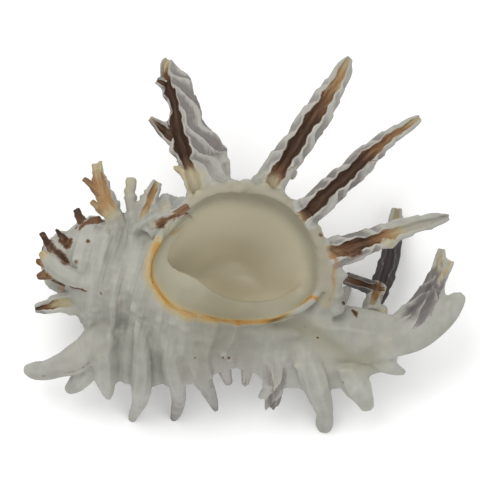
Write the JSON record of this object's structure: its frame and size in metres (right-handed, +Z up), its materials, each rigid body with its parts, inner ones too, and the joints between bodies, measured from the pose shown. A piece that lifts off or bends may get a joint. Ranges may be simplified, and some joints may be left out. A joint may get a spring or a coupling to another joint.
{
  "type": "murex shell",
  "caption": "Spiny spiral sea shell lying on its back, with a flared aperture, grooved lip spines, a knobbly spire and an open canal",
  "frame": {"origin": "Middle of the shell's box, on the surface that it lies on", "axes": "+X along the shell towards the siphonal canal, +Y towards the outer lip's spines, +Z up out of the aperture"},
  "size_m": [0.191, 0.163, 0.073],
  "materials": {
    "shell": "Chalky grey-white outside with brown-black grooves in the spines, glossy warm cream inside, ochre inner rim"
  },
  "bodies": {
    "root": {"shell": "shell"}
  },
  "joints": []
}
